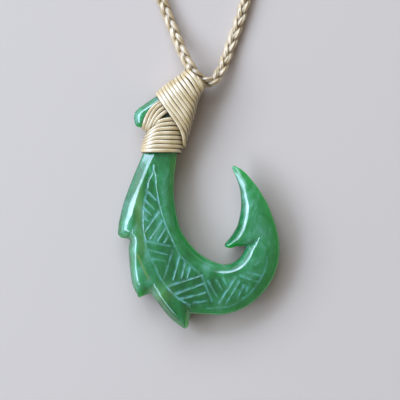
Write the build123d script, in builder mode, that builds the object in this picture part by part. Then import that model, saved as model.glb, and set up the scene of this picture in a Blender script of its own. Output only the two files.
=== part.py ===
from build123d import *
import math
import os

# A carved stone fish hook on a braided neck cord, lying on its back: X across, Y from the hook's tail up to
# the head, Z up. The origin is under the middle of the hook and its lashings.

# The pendant without its cord
pendant_width = 32.2
pendant_length = 51.4

# The stone
stone_thickness = 7.0
stone_bevel = 1.5
bevel_share = 0.3
head_thickness = 4.0
tip_thickness = 1.4
leaf_thickness = 5.2
leaf_draw = 0.18

# The thread that binds the head
thread_diameter = 0.9
whipping_layers = 1
band_layers = 1.5
band_edge = 0.6
band_draw = 0.10

# The braided neck cord
cord_diameter = 2.2

# Clearances: thread to stone, one lashing to the next, and the cord in its two sockets
stone_gap = 0.12
lashing_gap = 0.15
cord_gap = 0.12

# What follows from these sizes
whipping_thickness = head_thickness + 2 * (stone_gap + whipping_layers * thread_diameter)
band_thickness = head_thickness + 2 * (stone_gap + band_layers * thread_diameter)
mid_height = max(stone_thickness, band_thickness) / 2

# Sections of the stone, each from its outer to its inner edge as shares of the pendant's width and length
# from its centre. The last column is how far the thickness has gone from the head's to the full one.
shank_sections = [
    ((-0.339, 0.184), (-0.139, 0.184), 0.00),
    ((-0.382, 0.130), (-0.148, 0.130), 0.35),
    ((-0.420, 0.063), (-0.150, 0.063), 0.70),
    ((-0.442, -0.011), (-0.145, -0.007), 0.92),
    ((-0.447, -0.084), (-0.127, -0.073), 1.00),
    ((-0.440, -0.178), (-0.081, -0.141), 1.00),
    ((-0.416, -0.271), (-0.037, -0.182), 1.00),
    ((-0.332, -0.345), (0.010, -0.212), 1.00),
    ((-0.196, -0.407), (0.047, -0.226), 1.00),
    ((-0.053, -0.440), (0.090, -0.240), 1.00),
]
# The same up to the tip, and here the last column goes from the tip's thickness to the full one
point_sections = [
    ((0.093, -0.446), (0.140, -0.250), 1.00),
    ((0.236, -0.428), (0.199, -0.248), 1.00),
    ((0.360, -0.379), (0.242, -0.230), 1.00),
    ((0.445, -0.318), (0.271, -0.209), 1.00),
    ((0.491, -0.223), (0.286, -0.189), 0.96),
    ((0.489, -0.143), (0.283, -0.143), 0.90),
    ((0.463, -0.075), (0.265, -0.084), 0.82),
    ((0.423, -0.014), (0.257, -0.034), 0.70),
    ((0.348, 0.062), (0.252, 0.040), 0.48),
    ((0.289, 0.105), (0.235, 0.077), 0.25),
    ((0.225, 0.133), (0.206, 0.121), 0.00),
]
# Outlines of what stands out from the sections: the three leaves, each ending in a spur, and the inner barb.
# The last two points of each are its root.
side_outlines = {
    "first leaf": [
        (-0.376, 0.141),
        (-0.420, 0.063),
        (-0.460, -0.007),
        (-0.488, -0.071),
        (-0.503, -0.118),
        (-0.493, -0.145),
        (-0.442, -0.150),
        (-0.357, -0.139),
        (-0.307, 0.040),
    ],
    "second leaf": [
        (-0.445, -0.084),
        (-0.440, -0.211),
        (-0.431, -0.263),
        (-0.411, -0.351),
        (-0.376, -0.379),
        (-0.300, -0.360),
        (-0.258, -0.310),
        (-0.339, -0.139),
    ],
    "third leaf": [
        (-0.304, -0.359),
        (-0.280, -0.383),
        (-0.230, -0.421),
        (-0.173, -0.461),
        (-0.119, -0.491),
        (-0.094, -0.500),
        (-0.074, -0.491),
        (-0.066, -0.466),
        (-0.052, -0.439),
        (-0.022, -0.388),
        (-0.214, -0.326),
    ],
    "barb": [
        (0.254, -0.042),
        (0.234, -0.098),
        (0.205, -0.132),
        (0.160, -0.168),
        (0.157, -0.180),
        (0.178, -0.185),
        (0.274, -0.175),
        (0.314, -0.170),
        (0.326, -0.084),
    ],
}
# The neck, and the tilted head bar whose free end shows at the left of the lashings
neck_outline = [
    (-0.339, 0.176),
    (-0.139, 0.176),
    (-0.124, 0.281),
    (-0.085, 0.350),
    (-0.240, 0.360),
    (-0.264, 0.316),
]
bar_outline = [
    (-0.264, 0.316),
    (-0.062, 0.394),
    (-0.066, 0.430),
    (-0.092, 0.453),
    (-0.134, 0.461),
    (-0.381, 0.351),
    (-0.402, 0.336),
    (-0.405, 0.311),
    (-0.396, 0.292),
    (-0.378, 0.283),
]

# Outlines of the three lashings seen from above, as shares of the pendant's width and length
head_lashing_outline = [
    (-0.275, 0.408),
    (-0.107, 0.500),
    (-0.053, 0.499),
    (-0.003, 0.478),
    (0.032, 0.454),
    (0.031, 0.424),
    (0.003, 0.394),
    (-0.022, 0.345),
    (-0.047, 0.289),
    (-0.079, 0.211),
    (-0.093, 0.207),
    (-0.117, 0.256),
    (-0.153, 0.305),
    (-0.204, 0.345),
]
shank_whipping_outline = [
    (-0.361, 0.185),
    (-0.361, 0.202),
    (-0.342, 0.233),
    (-0.314, 0.278),
    (-0.232, 0.323),
    (-0.150, 0.345),
    (-0.080, 0.240),
    (-0.105, 0.198),
    (-0.120, 0.185),
]
side_lashing_outline = [
    (-0.264, 0.388),
    (-0.180, 0.345),
    (-0.242, 0.290),
    (-0.320, 0.262),
    (-0.347, 0.266),
    (-0.366, 0.276),
    (-0.348, 0.320),
]

# The neck cord's route: the points that its runs join, from its left end in the head lashing round the neck
# and back to its right end. It comes down from the lashing to the surface and lies there the plain way round.
cord_floor = cord_diameter / 2 + 0.02
cord_route = [
    (-1.50, 24.70, 3.50),
    (-2.35, 27.20, 3.35),
    (-5.15, 33.70, cord_floor),
    (-7.00, 39.60, cord_floor),
    (-9.60, 51.0, cord_floor),
    (-16.5, 68.0, cord_floor),
    (-30.0, 90.0, cord_floor),
    (-48.0, 114.0, cord_floor),
    (-65.0, 143.0, cord_floor),
    (-75.0, 176.0, cord_floor),
    (-77.0, 211.0, cord_floor),
    (-69.0, 244.0, cord_floor),
    (-48.0, 270.0, cord_floor),
    (-18.0, 284.0, cord_floor),
    (16.0, 286.0, cord_floor),
    (47.0, 273.0, cord_floor),
    (70.0, 248.0, cord_floor),
    (80.0, 215.0, cord_floor),
    (78.0, 180.0, cord_floor),
    (67.0, 147.0, cord_floor),
    (50.0, 118.0, cord_floor),
    (33.0, 93.0, cord_floor),
    (19.5, 71.0, cord_floor),
    (12.8, 55.0, cord_floor),
    (9.60, 43.5, cord_floor),
    (8.55, 37.6, cord_floor),
    (7.00, 33.2, cord_floor),
    (5.30, 29.0, 1.90),
    (3.65, 25.9, 2.90),
    (1.95, 23.65, 3.45),
    (0.38, 22.94, 3.50),
]
# Each corner's arc takes up this share of its shorter run at each side
arc_share = 0.45


def spot(shares):
    """The point in millimetres for two shares of the pendant's width and length."""
    return (shares[0] * pendant_width, shares[1] * pendant_length)


def flat_face(outlines, height, grow=0):
    """Sketches outlines as one face at a height, its edges moved out by a clearance."""
    with BuildSketch(Plane.XY.offset(height)) as face:
        for outline in outlines:
            with BuildLine():
                Polyline(*[spot(point) for point in outline], close=True)
            make_face()
        if grow:
            offset(amount=grow, kind=Kind.INTERSECTION)
    return face.sketch


def section_plane(outer, inner):
    """The plane of one section, X from its outer to its inner edge and Z along the stone."""
    outer_spot = Vector(*spot(outer))
    inner_spot = Vector(*spot(inner))
    middle = (outer_spot + inner_spot) / 2 + Vector(0, 0, mid_height)
    across = (inner_spot - outer_spot).normalized()
    return Plane(origin=middle, x_dir=across, z_dir=across.cross(Vector(0, 0, 1)))


def draw_section(outer, inner, thickness):
    """Sketches one section of the stone, a rectangle with its corners cut."""
    width = (Vector(*spot(inner)) - Vector(*spot(outer))).length
    bevel = min(stone_bevel, bevel_share * width, bevel_share * thickness)
    with BuildSketch(section_plane(outer, inner)) as section:
        Rectangle(width, thickness)
        chamfer(section.vertices(), bevel)
    return section.sketch


def draw_layers(outline, centre, levels):
    """Sketches an outline once for each level, a height over mid_height and a size about the centre."""
    layers = []
    for height, size in levels:
        points = [centre + (Vector(*spot(point)) - centre) * size for point in outline]
        with BuildSketch(Plane.XY.offset(mid_height + height)) as layer:
            with BuildLine():
                Polyline(*points, close=True)
            make_face()
        layers.append(layer.sketch)
    return layers


def draw_leaf(outline):
    """The layers of a leaf, drawn in towards its root at the back and the front."""
    root = (Vector(*spot(outline[-1])) + Vector(*spot(outline[-2]))) / 2
    half = leaf_thickness / 2
    return draw_layers(outline, root, [(-half, 1 - leaf_draw), (0, 1), (half, 1 - leaf_draw)])


def draw_band(outline, thickness):
    """The layers of a lashing, its back and front edges rounded off by one slope each."""
    centre = sum((Vector(*spot(point)) for point in outline), Vector()) / len(outline)
    half = thickness / 2
    slope = half - band_edge
    drawn = 1 - band_draw
    return draw_layers(outline, centre, [(-half, drawn), (-slope, 1), (slope, 1), (half, drawn)])


def corner_radii(route):
    """The radius of the arc at each inner point of a route."""
    points = [Vector(*point) for point in route]
    radii = []
    for before, here, after in zip(points, points[1:], points[2:]):
        turn = math.radians((here - before).get_angle(after - here))
        shorter = min((here - before).length, (after - here).length)
        radii.append(arc_share * shorter / math.tan(turn / 2))
    return radii


def end_plane(tip, beyond):
    """A plane at one end of the cord, its normal along the run from the tip to the next point."""
    return Plane(origin=tip, z_dir=Vector(*beyond) - Vector(*tip))


# The hook itself: sections from the neck round to the tip, then what stands out from them
sections = []
for outer, inner, share in shank_sections:
    thickness = head_thickness + share * (stone_thickness - head_thickness)
    sections.append(draw_section(outer, inner, thickness))
for outer, inner, share in point_sections:
    thickness = tip_thickness + share * (stone_thickness - tip_thickness)
    sections.append(draw_section(outer, inner, thickness))
with BuildPart() as hook_stone:
    loft(sections, ruled=True)
    for outline in side_outlines.values():
        loft(draw_leaf(outline), ruled=True)
    extrude(flat_face([neck_outline, bar_outline], mid_height - head_thickness / 2), amount=head_thickness)
hook_stone.part.label = "hook_stone"

# The room that the stone takes in the lashings
with BuildPart() as stone_room:
    room_thickness = head_thickness + 2 * stone_gap
    room_face = flat_face([neck_outline, bar_outline], mid_height - room_thickness / 2, stone_gap)
    extrude(room_face, amount=room_thickness)

# The diagonal band over the head bar, with a socket for each end of the cord
with BuildPart() as head_lashing:
    loft(draw_band(head_lashing_outline, band_thickness), ruled=True)
    add(stone_room.part, mode=Mode.SUBTRACT)
    for tip, beyond in ((cord_route[0], cord_route[1]), (cord_route[-1], cord_route[-2])):
        with BuildSketch(end_plane(tip, beyond).offset(-cord_gap)):
            Circle(cord_diameter / 2 + cord_gap)
        extrude(amount=(Vector(*beyond) - Vector(*tip)).length + cord_gap, mode=Mode.SUBTRACT)
head_lashing.part.label = "head_lashing"

# The room that the head lashing takes in the other two
with BuildPart() as head_room:
    extrude(flat_face([head_lashing_outline], 0, lashing_gap), amount=2 * mid_height)

# The lower band of thread round the neck
whipping_base = mid_height - whipping_thickness / 2
with BuildPart() as shank_whipping:
    extrude(flat_face([shank_whipping_outline], whipping_base), amount=whipping_thickness)
    add(stone_room.part, mode=Mode.SUBTRACT)
    add(head_room.part, mode=Mode.SUBTRACT)
shank_whipping.part.label = "shank_whipping"

# The room that the whipping takes in the side lashing
with BuildPart() as whipping_room:
    extrude(flat_face([shank_whipping_outline], 0, lashing_gap), amount=2 * mid_height)

# The strands across the crotch beside the head bar's free end
with BuildPart() as side_lashing:
    extrude(flat_face([side_lashing_outline], whipping_base), amount=whipping_thickness)
    add(stone_room.part, mode=Mode.SUBTRACT)
    add(head_room.part, mode=Mode.SUBTRACT)
    add(whipping_room.part, mode=Mode.SUBTRACT)
side_lashing.part.label = "side_lashing"

# The neck cord, a plain tube along its route
radii = corner_radii(cord_route)
with BuildPart() as neck_cord:
    with BuildLine() as cord_line:
        FilletPolyline(*cord_route, radius=radii)
    with BuildSketch(end_plane(cord_route[0], cord_route[1])):
        Circle(cord_diameter / 2)
    sweep(path=cord_line.wires()[0])
neck_cord.part.label = "neck_cord"

os.makedirs("parts", exist_ok=True)
export_step(hook_stone.part, "parts/hook_stone.step")
export_step(shank_whipping.part, "parts/shank_whipping.step")
export_step(side_lashing.part, "parts/side_lashing.step")
export_step(head_lashing.part, "parts/head_lashing.step")
export_step(neck_cord.part, "parts/neck_cord.step")

# Figures to check by eye: the cord's length, its arcs, and its volume beside its section times its length
cord_length = cord_line.wires()[0].length
print("cord length", round(cord_length, 1), "mm")
print("cord radii", [round(radius, 1) for radius in radii])
print("cord volume", round(neck_cord.part.volume, 1), round(math.pi / 4 * cord_diameter**2 * cord_length, 1))
for piece in (hook_stone, shank_whipping, side_lashing, head_lashing, neck_cord):
    print(piece.part.label, "volume", round(piece.part.volume, 2), "solids", len(piece.part.solids()))
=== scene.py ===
import math
import random

import bpy
import numpy as np
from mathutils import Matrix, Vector
from mathutils.geometry import delaunay_2d_cdt


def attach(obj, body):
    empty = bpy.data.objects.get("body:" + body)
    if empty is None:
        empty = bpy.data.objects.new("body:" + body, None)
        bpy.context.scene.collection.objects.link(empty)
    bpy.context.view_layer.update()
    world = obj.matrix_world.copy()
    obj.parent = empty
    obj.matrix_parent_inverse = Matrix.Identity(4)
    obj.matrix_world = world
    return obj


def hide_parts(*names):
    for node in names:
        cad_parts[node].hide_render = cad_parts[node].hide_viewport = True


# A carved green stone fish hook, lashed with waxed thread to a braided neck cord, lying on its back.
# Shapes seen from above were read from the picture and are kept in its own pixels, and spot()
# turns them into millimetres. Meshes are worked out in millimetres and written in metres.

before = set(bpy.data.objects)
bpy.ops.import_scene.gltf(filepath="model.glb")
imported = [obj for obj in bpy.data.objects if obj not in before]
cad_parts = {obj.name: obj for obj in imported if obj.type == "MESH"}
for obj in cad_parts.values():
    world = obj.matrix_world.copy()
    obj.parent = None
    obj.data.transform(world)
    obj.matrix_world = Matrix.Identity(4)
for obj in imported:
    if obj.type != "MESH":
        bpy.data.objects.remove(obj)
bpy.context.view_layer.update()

MM = 0.001
# Points that are worked on at a time, so that the tables of distances stay small
BLOCK = 2000

# The picture: its side in pixels, the size of a pixel at the stone's middle in millimetres, and the pixel
# of the frame's origin. The camera's height is in metres.
PICTURE_SIDE = 400
PIXEL_SIZE = 0.2
ORIGIN_PIXEL = (199.5, 200.3)
CAMERA_HEIGHT = 0.42

# The stone: the height of its middle plane, and its half thickness down the shank and up the point, each
# as places up the picture with the half thickness there. The point's values hold right of POINT_SIDE.
MID_HEIGHT = 3.5
SHANK_HEIGHTS = [-4.3, -0.6, 3.2, 6.7, 9.5]
SHANK_HALVES = [3.5, 3.38, 3.05, 2.53, 2.0]
POINT_HEIGHTS = [-13.5, -10.6, -7.4, -4.1, -1.2, 2.6, 4.7, 6.6]
POINT_HALVES = [3.5, 3.39, 3.22, 3.0, 2.66, 2.08, 1.33, 0.5]
POINT_SIDE = 3.0

# Shares of the half thickness that the parts of the edge's section take, from the edge inwards, and where
# the round ends and the crown levels off, in bevel widths
EDGE_SHARE = 0.30
ROUND_SHARE = 0.17
SLOPE_SHARE = 0.48
CROWN_SHARE = 0.05
ROUND_END = 0.16
CROWN_REACH = 2.0
# In bevel_field: what a long straight edge adds up to at the ridge, the least square of a distance, and
# where the distance begins to give way to the sum over the edge and over how far, in bevel widths
STRAIGHT_SUM = 1.178
LEAST_SQUARE = 1e-4
SUM_START = 0.15
SUM_RUN = 0.35

# The stone's edge, once round from the whipping down its outer side. Each stretch has the width of its
# bevel in millimetres, how soft the ridge at the bevel's top is, and the pixels of its line.
STONE_EDGE = [
    ("first leaf, top", 1.9, 0.22, [(143.4, 153), (139.6, 162.2), (135.2, 172.5), (130.6, 184),
                                   (127, 193.5)]),
    ("first leaf", 1.7, 0.8, [(127, 193.5), (123.8, 202.5), (120.4, 216)]),
    ("first leaf, end", 1.15, 0.9, [(120.4, 216), (118.8, 224), (118.4, 229.5)]),
    ("first spur", 1.4, 0.4, [(118.4, 229.5), (118.2, 234.3), (121.2, 237.6)]),
    ("first notch", 1.7, 0.4, [(121.2, 237.6), (124.6, 238.3)]),
    ("second leaf, top", 1.1, 0.6, [(124.6, 238.3), (127.6, 238.6), (128.4, 238.8), (128.8, 249),
                                   (129.4, 260)]),
    ("second leaf", 0.88, 0.8, [(129.4, 260), (130.6, 273), (132.8, 285), (138.9, 297.6)]),
    ("second spur", 1.6, 1.0, [(138.9, 297.6), (144.1, 295.4), (151, 292.8)]),
    ("third leaf", 1.15, 0.3, [(151, 292.8), (162.5, 308.6), (171.7, 318.9), (184.3, 328.6)]),
    ("third spur", 0.8, 0.6, [(184.3, 328.6), (187.4, 327), (188.9, 320), (191.2, 313.2)]),
    ("outer bend", 2.3, 0.6, [(191.2, 313.2), (208, 314.2), (222.1, 314.4), (243.2, 308.1),
                              (264.2, 291.2), (276.1, 270.2), (279.5, 245), (275.9, 225.3)]),
    ("outer point", 2.4, 0.7, [(275.9, 225.3), (267, 202.9), (255.5, 184.4)]),
    ("outer point, top", 1.5, 0.9, [(255.5, 184.4), (241, 169.3), (234.4, 165.7)]),
    ("tip", 0.8, 0.8, [(234.4, 165.7), (232.4, 166.2), (232.2, 168.5)]),
    ("inner point, top", 1.15, 0.9, [(232.2, 168.5), (235, 174.8), (238.2, 182.9), (240.1, 190.4),
                                   (240.9, 198)]),
    ("inner point", 1.35, 0.6, [(240.9, 198), (241, 206.5), (239.9, 215.1)]),
    ("inner point, end", 1.25, 0.5, [(239.9, 215.1), (237.3, 225.3), (232.2, 234.6), (224.7, 243.8)]),
    ("barb", 1.0, 0.45, [(224.7, 243.8), (224.8, 246.3), (228.6, 247.9), (237, 246.2), (245.8, 245.8)]),
    ("throat, bowl", 1.2, 0.8, [(245.8, 245.8), (243.2, 252.3), (238.2, 258.8), (230.5, 263.4),
                                (222.1, 264.4)]),
    ("throat", 1.45, 0.45, [(222.1, 264.4), (211.6, 260.6), (200.6, 254.2), (189.6, 243.2),
                            (180.8, 229.2), (176.3, 211.5), (173.9, 193), (174.4, 178), (176, 163),
                            (177.3, 153)]),
    ("neck right", 1.2, 0.4, [(177.3, 153), (180.5, 125), (189.5, 99)]),
    ("head end", 0.9, 0.4, [(189.5, 99), (188.9, 89.8), (184.7, 83.9), (177.9, 81.8)]),
    ("head top", 0.95, 0.4, [(177.9, 81.8), (155.8, 96.8), (138.2, 108.8)]),
    ("knob", 1.0, 0.4, [(138.2, 108.8), (134.6, 113.5), (134.3, 120.4), (136.1, 126), (140.9, 127.7)]),
    ("head bottom", 0.9, 0.4, [(140.9, 127.7), (157, 119.1)]),
    ("neck left", 2.0, 0.3, [(157, 119.1), (150, 137), (143.4, 153)]),
]

# Creases that run up from the notches and fade out: the pixels of the line from its lower end, the widths
# of the slopes on its spur's side and on its other side in millimetres, how high up the bevel it lies, the
# share of its length where it has risen so far, and by what share the spur is thinner than the body
CREASES = [
    ("first notch", [(127.6, 238.6), (130.5, 234), (133.4, 228.5)], 1.5, 1.05, 0.95, 0.8, 0.05),
    ("second notch", [(151, 292.8), (152.6, 288), (154.6, 282)], 1.1, 1.3, 1.0, 0.7, 0.1),
    ("third notch", [(191.2, 313.2), (188, 307), (185, 300)], 1.3, 2.4, 1.0, 0.8, 0.1),
    ("barb root", [(245.8, 245.8), (252, 242), (259.9, 236.1)], 0.7, 1.4, 0.8, 0.9, 0.0),
]
# How much narrower a crease's slopes are at its upper end, how far it rises there, how far the thinning of
# its spur reaches past the line, where on the spur that begins to fade, and over what distance it does
CREASE_NARROWING = 0.6
CREASE_END_RISE = 0.7
SPUR_BORDER = 0.35
SPUR_REACH = 2.5
SPUR_FADE = 1.5

# The engraved lines: half their width in millimetres, how strong they are, and the pixels of each. Borders
# are even, and a line of hatching narrows from its first pixel to its last, by these shares of its width.
EVEN = (1, 1)
HATCHING_TAPER = (1.2, 0.7)
CLEAR_BORDERS = (0.27, 0.85, [
    [(153.2, 166), (153, 170), (153.6, 171.4), (156.1, 189.3), (159.9, 208.4), (166.3, 227.6),
     (171.4, 239), (175, 247)],
    [(153, 170), (151, 175.3), (148.4, 180), (147.2, 188)],
    [(143.4, 206), (142.9, 209.7), (142.5, 219.9), (143.4, 232.7), (145.3, 240.3)],
    [(168, 288.5), (172.5, 293.8), (182, 301), (190, 305)],
    [(264.2, 271.6), (257.2, 284.2), (250.2, 292.6), (241.1, 299.7), (230.5, 306), (222.1, 307.4)],
])
FAINT_BORDERS = (0.36, 0.5, [
    [(175, 247), (176.5, 250.5), (189.3, 264.5), (200.8, 274.7)],
    [(147.2, 188), (146.6, 191.8), (144, 202), (143.4, 206)],
    [(145.3, 240.3), (147, 250.5), (150.4, 259), (154.9, 266.4), (158.8, 276), (164.9, 284.5),
     (168, 288.5)],
    [(267, 257.5), (266, 264), (264.2, 271.6)],
    [(222.1, 307.4), (208, 308.5)],
    [(201.5, 275.5), (211.7, 301)],
])
STRONG_HATCHING = (0.36, 0.85, [
    [(146.5, 190.5), (155.5, 200)],
    [(144.5, 200), (153.2, 208.6)],
    [(143.7, 208.8), (151, 215.6)],
    [(143.2, 217.4), (147.4, 220.8)],
    [(158.2, 211.6), (144.6, 231.6)],
    [(161.2, 220.9), (149.7, 238.4)],
    [(164.9, 227.8), (157.2, 240.6)],
    [(167, 236.6), (163.8, 242.3)],
    [(178.8, 256.4), (173, 279)],
    [(184.9, 261.8), (181, 277.8)],
    [(189.4, 267.8), (186.7, 277.8)],
    [(166.7, 286.2), (201.8, 275)],
    [(174.9, 293.8), (203.2, 283.5)],
    [(179.5, 299), (205, 292.5)],
    [(194, 303), (205.6, 301)],
    [(234.7, 277.9), (219.3, 301.8)],
    [(238.2, 282.1), (225.6, 303.9)],
    [(243.2, 285.6), (236.8, 298.9)],
    [(247.4, 287.7), (246, 291.9)],
])
FAINT_HATCHING = (0.34, 0.6, [
    [(145, 241), (169, 246)],
    [(146.4, 249.4), (166.3, 254.3)],
    [(149.5, 258), (163.8, 260.7)],
    [(172.5, 250.5), (163.8, 278.5)],
    [(208.1, 281.4), (216.5, 296.1)],
    [(216.5, 280.7), (221.4, 289.1)],
    [(223.5, 279.3), (225.6, 283.5)],
    [(240.4, 275.8), (257.2, 281.4)],
    [(248, 272), (262, 276)],
    [(255.8, 264), (258.6, 261.8)],
])
GROOVE_DEPTH = 0.09

# Milky places in the stone, which on the bevels of the leaves and the point also stand for a painted
# pale sheen: the pixel of the middle, the reach in pixels across and up the picture, and the strength,
# which is below zero where the stone is darker
MILKY_AND_SHEEN_PLACES = [
    ((249, 203), 12, 26, 0.75),
    ((262, 236), 10, 20, 0.3),
    ((126, 212), 7, 20, 0.5),
    ((138, 246), 7, 22, 0.45),
    ((141, 280), 5, 12, 0.85),
    ((140, 120), 7, 9, 1.0),
    ((206, 266), 24, 9, 0.9),
    ((165, 192), 6, 22, 1.0),
    ((152, 246), 7, 22, 0.8),
    ((178, 222), 5, 16, 0.5),
    ((272, 268), 6, 24, 0.3),
    ((172, 314), 14, 14, -1.0),
    ((190, 287), 30, 16, -0.7),
    ((174, 255), 10, 26, -0.45),
]

# A rusty vein's pixels, its half width in millimetres, and rusty places given as the milky ones are
VEIN = [(138, 255), (140.4, 260), (143.1, 266), (145.8, 271.6), (148.8, 277.6)]
VEIN_HALF_WIDTH = 0.34
RUSTY_PLACES = [
    ((139, 206), 4, 28, 0.5),
    ((142, 244), 5, 14, 0.3),
    ((163, 292), 9, 9, 0.35),
    ((174, 170), 3, 20, 0.35),
]

# Painted light on the rim: how strongly light through the stone is painted as glowing green, and how
# strong the painted teal shade is, by where they lie and which way they face
PAINTED_GLOW_ON_RIM = 0.5
PAINTED_GLOW_ON_RIGHT = 0.6
PAINTED_SHADE_ON_TOP = 0.3
PAINTED_SHADE_ON_LEFT = 0.8
PAINTED_SHADE_MOST = 0.8

# Spacing of the stone's samples and points in millimetres
EDGE_STEP = 0.08
ROW_STEP = 0.16
GRID_STEP = 0.28
GROOVE_STEP = 0.14
VEIN_STEP = 0.05
ENGRAVING_STEP = 0.06
NORMAL_STEP = 0.03
FRONT_GAP = 0.06
BACK_GAP = 0.1
# Samples of the edge that its values are eased over, and every how many samples the outline has a point
# and the ridge is looked up
EASE_SAMPLES = 31
OUTLINE_EVERY = 3
RIDGE_EVERY = 6
# The mesh's rows inwards from the edge as shares of the bevel, how far off its share a row's point may be,
# the gap to the grid, and the room left at the edge
BEVEL_ROWS = [0.03, 0.07, 0.12, 0.2, 0.32, 0.46, 0.6, 0.72, 0.83, 0.93, 1.03, 1.14, 1.27, 1.42, 1.6]
ROW_SLACK = 0.04
GRID_GAP = 0.1
EDGE_ROOM = 0.03
# Its rows beside each engraved line and each crease, and the room kept round those lines, in millimetres
GROOVE_ROWS = np.array([0, -0.11, 0.11, -0.22, 0.22, -0.34, 0.34, -0.46, 0.46])
CREASE_ROWS = np.array([0, -0.12, 0.12, -0.25, 0.25, -0.4, 0.4, -0.6, 0.6, -0.85, 0.85])
LINE_ROOM = 0.5

# The thread, how far the lashings reach over the stone's middle, how much that varies from turn to turn,
# and the step between the samples of a turn's front run, in millimetres. The turns press on each other,
# so a thread's section and a lashing's are a little squarer than a circle, which has 2.
THREAD_DIAMETER = 0.9
THREAD_SIDES = 16
THREAD_SQUARENESS = 3.0
LASHING_SQUARENESS = 2.5
WHIPPING_REACH = 2.5
BAND_REACH = 2.95
REACH_SPREAD = 0.04
REACH_SEED = 4
RING_POINTS = 96
RUN_STEP = 0.05

# Each lashing's turns: the pixels of the middle line of each turn's front run, and how many pixels its
# back run is shifted from it at its first and its last one
WHIPPING_TURNS = [
    [(180, 118.8), (170, 119), (160, 121.3), (151.5, 128.5)],
    [(181.5, 123.5), (170, 123.5), (158, 126), (148.6, 132.6)],
    [(182, 128.2), (170, 128.2), (156, 130.2), (146.6, 136.4)],
    [(182.2, 132.8), (170, 132.8), (155, 134.4), (145.4, 139.8)],
    [(182.2, 137.4), (170, 137.4), (154, 138.4), (144.4, 142.8)],
    [(181.8, 141.9), (170, 141.9), (153, 142.3), (143.7, 145.4)],
    [(181, 146.1), (168, 146.1), (153, 146.2), (143.3, 147.8)],
    [(179.3, 150.3), (166, 150.4), (153, 150.3), (143.1, 150.2)],
]
WHIPPING_SHIFT = [(0, 2.1), (0, 1.2)]
BAND_TURNS = [
    [(157, 94.4), (159, 96.8), (163.6, 103), (168.4, 109.5), (173, 116), (177.5, 122.5), (181.4, 129.2),
     (184.1, 136.6), (185, 143)],
    [(159.7, 91.6), (161.8, 94.5), (171.3, 107.4), (180.6, 120.1), (185.2, 128.4), (186.6, 136)],
    [(162.6, 89), (165, 92.3), (174.5, 105.3), (183.7, 118), (187.3, 125.2), (188.4, 131)],
    [(165.6, 86.6), (168.2, 90.1), (178, 102.9), (186.8, 115.8), (189.2, 121), (190, 126.2)],
    [(168.6, 84.3), (171.3, 88), (181.2, 100.7), (189.5, 113.9), (191.4, 120.4)],
    [(171.7, 82.2), (174.4, 85.8), (184.4, 98.6), (191.4, 110), (192.9, 115.4)],
    [(175, 80.1), (177.6, 83.6), (187.6, 96.4), (193.3, 105.6), (194.3, 110)],
    [(178.4, 77.8), (181.2, 81.1), (191, 94), (194.9, 101.2), (195.6, 105)],
    [(181.9, 75.5), (184.7, 78.8), (194, 91.8), (196.5, 97), (196.8, 100.4)],
    [(183.9, 72.6), (188.4, 76.3), (196.6, 87.4), (198.6, 92.6), (198.5, 96)],
    [(187.4, 70.8), (192, 74.4), (198.8, 83.6), (200.6, 89), (200.2, 92)],
    [(192.6, 74.8), (197, 78), (201, 83), (202.6, 87.4), (202, 90)],
]
BAND_SHIFT = [(2.4, -1.6), (-1.6, 5)]
SIDE_TURNS = [
    [(163.8, 99.6), (159.2, 102.5), (154.6, 105.8), (150.4, 110.8), (147.2, 116.2), (144.9, 122),
     (143.4, 127.8)],
    [(166.5, 101.2), (161.2, 104.4), (156.4, 108), (152.8, 112.8), (150.2, 118.2), (148.2, 123.6),
     (146, 129)],
    [(169.4, 104.4), (164.2, 107.4), (159.4, 110.9), (155.8, 115.4), (153, 120), (150.4, 124.8),
     (147.6, 129.6)],
    [(171.4, 108.4), (166.6, 111), (162.5, 113.9), (158.8, 117.3), (155.8, 120.8), (152.6, 124.6),
     (149.4, 128.6)],
]
SIDE_SHIFT = [(1, -1), (0.8, 1)]

# The neck cord: strands plaited along the route of its middle line, in metres. The route is closed, and
# turns round inside the head's lashing, where it starts and ends.
STRANDS = 3
CORD_DIAMETER = 0.0023
CORD_HEIGHT = 0.0020
STRAND_DIAMETER = 0.00116
STRAND_SIDES = 12
PLAIT_TURNS = 78
PLAIT_STEP = 0.00046
ROUTE_RESOLUTION = 24
CORD_FLOOR = 0.00112
CORD_ROUTE = [
    (0.00045, 0.02412, 0.0037), (-0.00075, 0.02475, 0.00375), (-0.0019, 0.0269, 0.0035),
    (-0.00345, 0.0296, 0.0027), (-0.0047, 0.033, 0.0014), (-0.0064, 0.0372, CORD_FLOOR),
    (-0.0081, 0.0418, CORD_FLOOR), (-0.0108, 0.052, CORD_FLOOR), (-0.0165, 0.068, CORD_FLOOR),
    (-0.03, 0.09, CORD_FLOOR), (-0.048, 0.114, CORD_FLOOR), (-0.065, 0.143, CORD_FLOOR),
    (-0.075, 0.176, CORD_FLOOR), (-0.077, 0.211, CORD_FLOOR), (-0.069, 0.244, CORD_FLOOR),
    (-0.048, 0.27, CORD_FLOOR), (-0.018, 0.284, CORD_FLOOR), (0.016, 0.286, CORD_FLOOR),
    (0.047, 0.273, CORD_FLOOR), (0.07, 0.248, CORD_FLOOR), (0.08, 0.215, CORD_FLOOR),
    (0.078, 0.18, CORD_FLOOR), (0.067, 0.147, CORD_FLOOR), (0.05, 0.118, CORD_FLOOR),
    (0.033, 0.093, CORD_FLOOR), (0.0195, 0.071, CORD_FLOOR), (0.013, 0.055, CORD_FLOOR),
    (0.0101, 0.0435, CORD_FLOOR), (0.0085, 0.0374, CORD_FLOOR), (0.0069, 0.0329, CORD_FLOOR),
    (0.0056, 0.0294, 0.0013), (0.0048, 0.0269, 0.0019), (0.0037, 0.0249, 0.0027),
    (0.0025, 0.02355, 0.0034), (0.00165, 0.0235, 0.00365), (0.00045, 0.02412, 0.0037),
]


# Camera

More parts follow.
